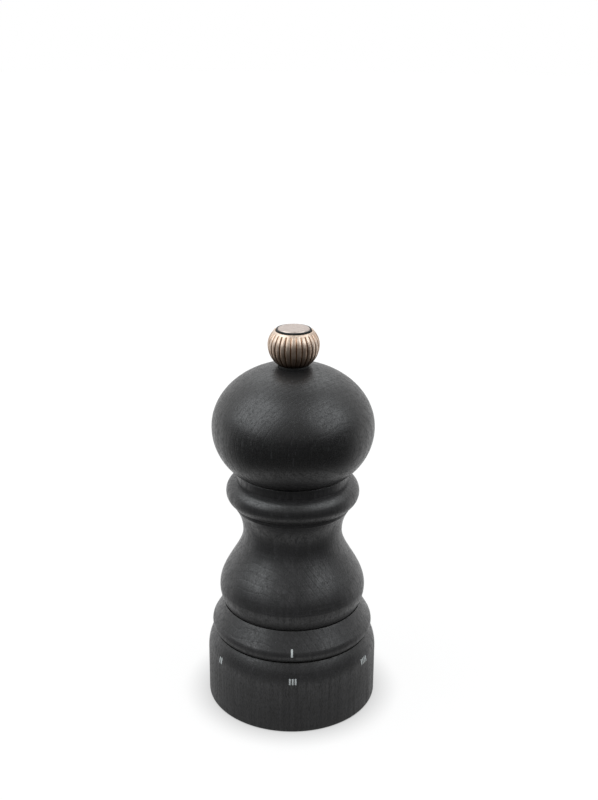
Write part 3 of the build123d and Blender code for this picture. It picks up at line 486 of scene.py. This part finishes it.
def make_knob():
    """The knob with its ribs; each point keeps how deep in a flute it lies."""
    profile = knob_profile()
    bm = bmesh.new()
    layer = bm.verts.layers.float.new("flute")
    columns = []
    for turn in round_turns(FLUTE_COUNT * FLUTE_STEPS):
        column = []
        for radius, z, fluted in profile:
            depth = 0.0
            if fluted:
                radius, depth = fluted_radius(radius, z, turn)
            vert = bm.verts.new(on_axis(radius, turn, z))
            vert[layer] = depth
            column.append(vert)
        columns.append(column)
    count = len(profile)
    for here, there in zip(columns, columns[1:] + columns[:1]):
        for j in range(count):
            k = (j + 1) % count
            if profile[j][0] == 0 and profile[k][0] == 0:
                continue
            bm.faces.new((here[j], there[j], there[k], here[k]))
    bmesh.ops.remove_doubles(bm, verts=bm.verts, dist=MERGE_DISTANCE)
    return add_object("knob_fluted", bm, materials["bronze"], SHARP_ANGLE_ROUND)


def make_shade_ring():
    """Black ring in the gap round the disc: a dark piece that stands for the shade in that gap."""
    low, high = KNOB_RECESS_Z, SHADE_RING_TOP_Z
    outline = [(SHADE_RING_BORE, low), (SHADE_RING_RADIUS, low), (SHADE_RING_RADIUS, high - SHADE_RING_ROUND),
               (SHADE_RING_RADIUS - SHADE_RING_ROUND, high), (SHADE_RING_BORE + SHADE_RING_ROUND, high),
               (SHADE_RING_BORE, high - SHADE_RING_ROUND)]
    bm = bmesh.new()
    columns = [[bm.verts.new(on_axis(r, turn, z)) for r, z in outline] for turn in round_turns(LATHE_STEPS)]
    for here, there in zip(columns, columns[1:] + columns[:1]):
        for j in range(len(outline)):
            k = (j + 1) % len(outline)
            bm.faces.new((here[j], there[j], there[k], here[k]))
    return add_object("disc_shade_ring", bm, materials["fibre"])


def square_radius(turn, limit):
    """Distance from the axis to the side of the square bar, its corners cut at a radius."""
    return min(SHAFT_HALF / max(abs(cos(turn)), abs(sin(turn))), limit)


def thread_radius(turn, z):
    """Radius of the threaded end: a vee with flats that climbs one pitch in a turn and fades in."""
    along = (z - SHAFT_SHOULDER_Z) / THREAD_PITCH - turn / (2 * pi)
    vee = abs(2 * (along - round(along)))
    fade = clamp((z - SHAFT_SHOULDER_Z - THREAD_PITCH) / THREAD_PITCH)
    crest = min(THREAD_RADIUS, THREAD_RADIUS - THREAD_CHAMFER + SHAFT_TIP_Z - z)
    return min(crest, THREAD_RADIUS - THREAD_DEPTH * fade * clamp(THREAD_SLOPE * vee - THREAD_CREST))


def make_shaft():
    """The square shaft with its clip grooves and its threaded end."""
    turns = round_turns(LATHE_STEPS)
    rows = []
    z = SHAFT_BOTTOM_Z
    for low, high in CLIP_GROOVES:
        rows += [(z, SHAFT_CORNER), (low, SHAFT_CORNER), (low, CLIP_GROOVE_RADIUS),
                 (high, CLIP_GROOVE_RADIUS)]
        z = high
    rows += [(z, SHAFT_CORNER), (SHAFT_SHOULDER_Z, SHAFT_CORNER)]
    rings = [[(square_radius(t, limit), z) for t in turns] for z, limit in rows]
    length = SHAFT_TIP_Z - SHAFT_SHOULDER_Z
    count = round(length / THREAD_PITCH * THREAD_ROWS)
    for i in range(count + 1):
        z = SHAFT_SHOULDER_Z + length * i / count
        rings.append([(thread_radius(t, z), z) for t in turns])
    bm = bmesh.new()
    verts = [[bm.verts.new(on_axis(r, t, z)) for t, (r, z) in zip(turns, ring)] for ring in rings]
    for low, high in zip(verts, verts[1:]):
        for i in range(LATHE_STEPS):
            k = (i + 1) % LATHE_STEPS
            bm.faces.new((low[i], low[k], high[k], high[i]))
    bm.faces.new(reversed(verts[0]))
    bm.faces.new(verts[-1])
    bmesh.ops.remove_doubles(bm, verts=bm.verts, dist=MERGE_DISTANCE)
    bmesh.ops.dissolve_degenerate(bm, edges=bm.edges, dist=MERGE_DISTANCE)
    return add_object("shaft_threaded", bm, materials["bright_steel"])


def make_spring():
    """Rotor spring as a coiled wire; returns it with the heights of its two ends, in metres."""
    low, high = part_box("rotor_spring")
    wire = SPRING_WIRE * MM / 2
    radius = high[0] - wire
    bottom, top = low[2] + wire, high[2] - wire
    steps = COIL_STEPS * SPRING_TURNS
    turns = round_turns(WIRE_SIDES)
    upward = Vector((0, 0, 1))
    bm = bmesh.new()
    rows = []
    for i in range(steps + 1):
        angle = 2 * pi * SPRING_TURNS * i / steps
        outward = Vector((cos(angle), sin(angle), 0))
        middle = radius * outward + (bottom + (top - bottom) * i / steps) * upward
        rows.append([bm.verts.new(middle + wire * (cos(t) * outward + sin(t) * upward)) for t in turns])
    for first, second in zip(rows, rows[1:]):
        for j in range(WIRE_SIDES):
            k = (j + 1) % WIRE_SIDES
            bm.faces.new((first[j], first[k], second[k], second[j]))
    bm.faces.new(rows[0])
    bm.faces.new(rows[-1])
    coil = add_object("rotor_spring_coil", bm, materials["spring_steel"], SHARP_ANGLE_ROUND)
    return coil, low[2], high[2]


def surface_bar(bm, radius_at, angle, bottom, height, width):
    """Thin printed bar that follows a turned surface."""
    grid = {}
    for layer in (0, 1):
        for i in range(BAR_ROWS + 1):
            z = bottom + height * i / BAR_ROWS
            radius = radius_at(z) + (INK_THICKNESS if layer else -INK_THICKNESS)
            for j in range(BAR_COLUMNS + 1):
                turn = angle + (j / BAR_COLUMNS - 0.5) * width / radius
                grid[layer, i, j] = bm.verts.new(on_axis(radius, turn, z))
    for layer in (0, 1):
        for i in range(BAR_ROWS):
            for j in range(BAR_COLUMNS):
                corners = ((i, j), (i, j + 1), (i + 1, j + 1), (i + 1, j))
                bm.faces.new([grid[(layer, *corner)] for corner in corners])
    edge = [(i, 0) for i in range(BAR_ROWS)] + [(BAR_ROWS, j) for j in range(BAR_COLUMNS)]
    edge += [(i, BAR_COLUMNS) for i in range(BAR_ROWS, 0, -1)] + [(0, j) for j in range(BAR_COLUMNS, 0, -1)]
    for a, b in zip(edge, edge[1:] + edge[:1]):
        bm.faces.new((grid[(0, *a)], grid[(0, *b)], grid[(1, *b)], grid[(1, *a)]))


def make_setting_marks():
    """One group of bars per grind setting, counted up to the viewer's right."""
    bm = bmesh.new()
    for setting in range(1, SETTING_COUNT + 1):
        middle = radians(FRONT_ANGLE + MARKS_SHIFT + (setting - FRONT_SETTING) * SETTING_ANGLE)
        for i in range(setting):
            shift = (i - (setting - 1) / 2) * MARK_PITCH / RING_RADIUS
            surface_bar(bm, ring_radius, middle + shift, MARK_BOTTOM_Z, MARK_HEIGHT, MARK_WIDTH)
    return add_object("setting_marks", bm, materials["ink"])


def make_pointer():
    """Bar on the body that the settings are read against."""
    bm = bmesh.new()
    angle = radians(FRONT_ANGLE + POINTER_SHIFT)
    surface_bar(bm, bead_radius, angle, POINTER_BOTTOM_Z, POINTER_HEIGHT, POINTER_WIDTH)
    return add_object("setting_pointer", bm, materials["ink"])


# Stage

def floor_glow(tree):
    """Glow of the floor: white to the camera but for a painted shadow at the base, uneven in reflections.
    """
    path = node(tree, "ShaderNodeLightPath")
    place = object_place(tree, (1, 1, 1))
    away = node(tree, "ShaderNodeVectorMath", {0: place}, operation="LENGTH").outputs["Value"]
    # painted shadow: the floor's glow to the camera is darkened where the mill's base closes it in
    nearby = node(tree, "ShaderNodeAmbientOcclusion", {"Distance": CONTACT_DISTANCE}, samples=16)
    painted_contact_shadow = level(tree, nearby.outputs["AO"], FLOOR_CONTACT)
    seen = combine(tree, "MULTIPLY", level(tree, away, FLOOR_SEEN), painted_contact_shadow)
    parts = node(tree, "ShaderNodeSeparateXYZ", {0: place})
    behind = level(tree, parts.outputs["Y"], FLOOR_BEHIND)
    around = combine(tree, "MINIMUM", level(tree, away, FLOOR_RISING), level(tree, away, FLOOR_FALLING))
    mirrored = combine(tree, "MAXIMUM", behind, around)
    seen = combine(tree, "MULTIPLY", path.outputs["Is Camera Ray"], seen)
    return combine(tree, "MULTIPLY_ADD", path.outputs["Is Glossy Ray"], mirrored, seen)


def make_floor():
    """Pale floor that keeps the mill's soft shadow and shows a painted shadow round its base, open under
    the mill and clear from below.
    """
    bm = bmesh.new()
    turns = round_turns(LATHE_STEPS)
    inner, outer = ([bm.verts.new((r * cos(t), r * sin(t), 0)) for t in turns] for r in FLOOR_RADII)
    for i in range(LATHE_STEPS):
        k = (i + 1) % LATHE_STEPS
        bm.faces.new((inner[i], outer[i], outer[k], inner[k]))
    material, tree, shader = new_material("floor_white")
    cloud = noise(tree, (3, 3, 3), 2.0)
    tint = ramp(tree, cloud, [(0.3, FLOOR_TINTS[0]), (0.7, FLOOR_TINTS[1])])
    dress(tree, shader, Base_Color=tint, Roughness=FLOOR_ROUGHNESS, Specular_IOR_Level=0.0,
          Emission_Color=(1, 1, 1, 1), Emission_Strength=floor_glow(tree))
    under = node(tree, "ShaderNodeNewGeometry").outputs["Backfacing"]
    clear = node(tree, "ShaderNodeBsdfTransparent")
    chosen = node(tree, "ShaderNodeMixShader", {0: under, 1: shader.outputs["BSDF"],
                                                2: clear.outputs["BSDF"]})
    output = next(n for n in tree.nodes if n.type == "OUTPUT_MATERIAL")
    tree.links.new(chosen.outputs["Shader"], output.inputs["Surface"])
    floor = add_object("floor", bm, material)


def make_world():
    """Soft room, white to the camera: darkest behind it, and bright below to light the open base."""
    world = bpy.data.worlds.new("studio")
    bpy.context.scene.world = world
    world.use_nodes = True
    tree = world.node_tree
    tree.nodes.clear()
    output = tree.nodes.new("ShaderNodeOutputWorld")
    path = node(tree, "ShaderNodeLightPath")
    way = node(tree, "ShaderNodeTexCoord").outputs["Generated"]
    parts = node(tree, "ShaderNodeSeparateXYZ", {0: way})
    back = level(tree, parts.outputs["Y"], ROOM_BACK)
    above = level(tree, parts.outputs["Z"], ROOM_ABOVE)
    below = level(tree, parts.outputs["Z"], ROOM_BELOW)
    strength = combine(tree, "MAXIMUM", combine(tree, "MAXIMUM", back, above), below)
    soft = node(tree, "ShaderNodeBackground", {"Color": (1, 1, 1, 1), "Strength": strength})
    white = node(tree, "ShaderNodeBackground", {"Color": (1, 1, 1, 1), "Strength": 1.0})
    chosen = node(tree, "ShaderNodeMixShader", {0: path.outputs["Is Camera Ray"], 1: soft.outputs[0],
                                                2: white.outputs[0]})
    tree.links.new(chosen.outputs[0], output.inputs["Surface"])


def make_lights():
    """Softboxes, each a rectangular lamp aimed at the mill."""
    for name, (place, size, power) in SOFTBOXES.items():
        data = bpy.data.lights.new(name, "AREA")
        data.shape = "RECTANGLE"
        data.size, data.size_y = size
        data.energy = power
        data.color = LAMP_COLOUR
        lamp = bpy.data.objects.new(name, data)
        bpy.context.scene.collection.objects.link(lamp)
        lamp.location = place
        lamp.rotation_euler = (Vector(LAMP_TARGET) - Vector(place)).to_track_quat("-Z", "Y").to_euler()


def make_camera():
    data = bpy.data.cameras.new("camera")
    data.sensor_width = SENSOR
    data.lens = CAMERA_LENS
    data.clip_start = CLIP_START
    camera = bpy.data.objects.new("camera", data)
    camera.location = Vector(CAMERA_PLACE) * MM
    aim = Euler((radians(90 - CAMERA_PITCH), 0, 0)).to_matrix()
    camera.rotation_euler = (aim @ Matrix.Rotation(radians(CAMERA_ROLL), 3, "Z")).to_euler()
    bpy.context.scene.collection.objects.link(camera)
    bpy.context.scene.camera = camera


# The pith of each piece of wood lies at (x, y) in millimetres. The head is made darkest and the body and
# ring lighter: partly their own stain, partly painted shade on the head and painted light on the body and
# ring.
materials = {
    "head_wood": stained_wood("head_wood", (-30, 46), (0.0, 0.0, 0.0), 0.75),
    "body_wood": stained_wood("body_wood", (38, 52), (3.1, 1.7, 0.4), 1.7),
    "ring_wood": stained_wood("ring_wood", (-44, 30), (7.3, 2.9, 1.9), 1.5),
    "bronze": bronze("bronze"),
    "bronze_disc": satin_disc("bronze_disc"),
    "brass": metal("brass", (0.50, 0.34, 0.13), (0.62, 0.44, 0.18), 0.30),
    "bright_steel": metal("bright_steel", (0.42, 0.43, 0.44), (0.56, 0.57, 0.58), 0.30, (1600, 1600, 90)),
    "hard_steel": metal("hard_steel", (0.14, 0.14, 0.145), (0.24, 0.24, 0.245), 0.42),
    "spring_steel": metal("spring_steel", (0.24, 0.24, 0.25), (0.36, 0.36, 0.37), 0.28),
    "moulded_plastic": moulded("moulded_plastic", (0.010, 0.010, 0.011), (0.017, 0.017, 0.018), 0.45),
    "bush_plastic": moulded("bush_plastic", (0.58, 0.57, 0.53), (0.66, 0.65, 0.61), 0.40),
    "fibre": moulded("fibre", (0.008, 0.008, 0.008), (0.014, 0.014, 0.014), 0.65),
    "ink": ink("ink"),
}

OWN_MATERIAL = {"turned_head": "head_wood", "turned_body": "body_wood", "adjusting_ring": "ring_wood"}
for subpart in frame["record"]["subparts"]:
    chosen = OWN_MATERIAL.get(subpart["node"], subpart["material_slot"])
    mesh = frame["nodes"][subpart["node"]].data
    mesh.materials.clear()
    mesh.materials.append(materials[chosen])

knob = make_knob()
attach(knob, "knob_nut")
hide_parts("knob")
shade_ring = make_shade_ring()
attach(shade_ring, "knob_nut")
shaft = make_shaft()
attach(shaft, "drive")
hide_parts("drive_shaft")
spring, spring_bottom, spring_top = make_spring()
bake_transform(spring)
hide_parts("rotor_spring")
marks = make_setting_marks()
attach(marks, "selector")
pointer = make_pointer()
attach(pointer, "mill_body")

make_floor()
make_world()
make_lights()
make_camera()
bpy.context.scene.view_settings.view_transform = "Standard"
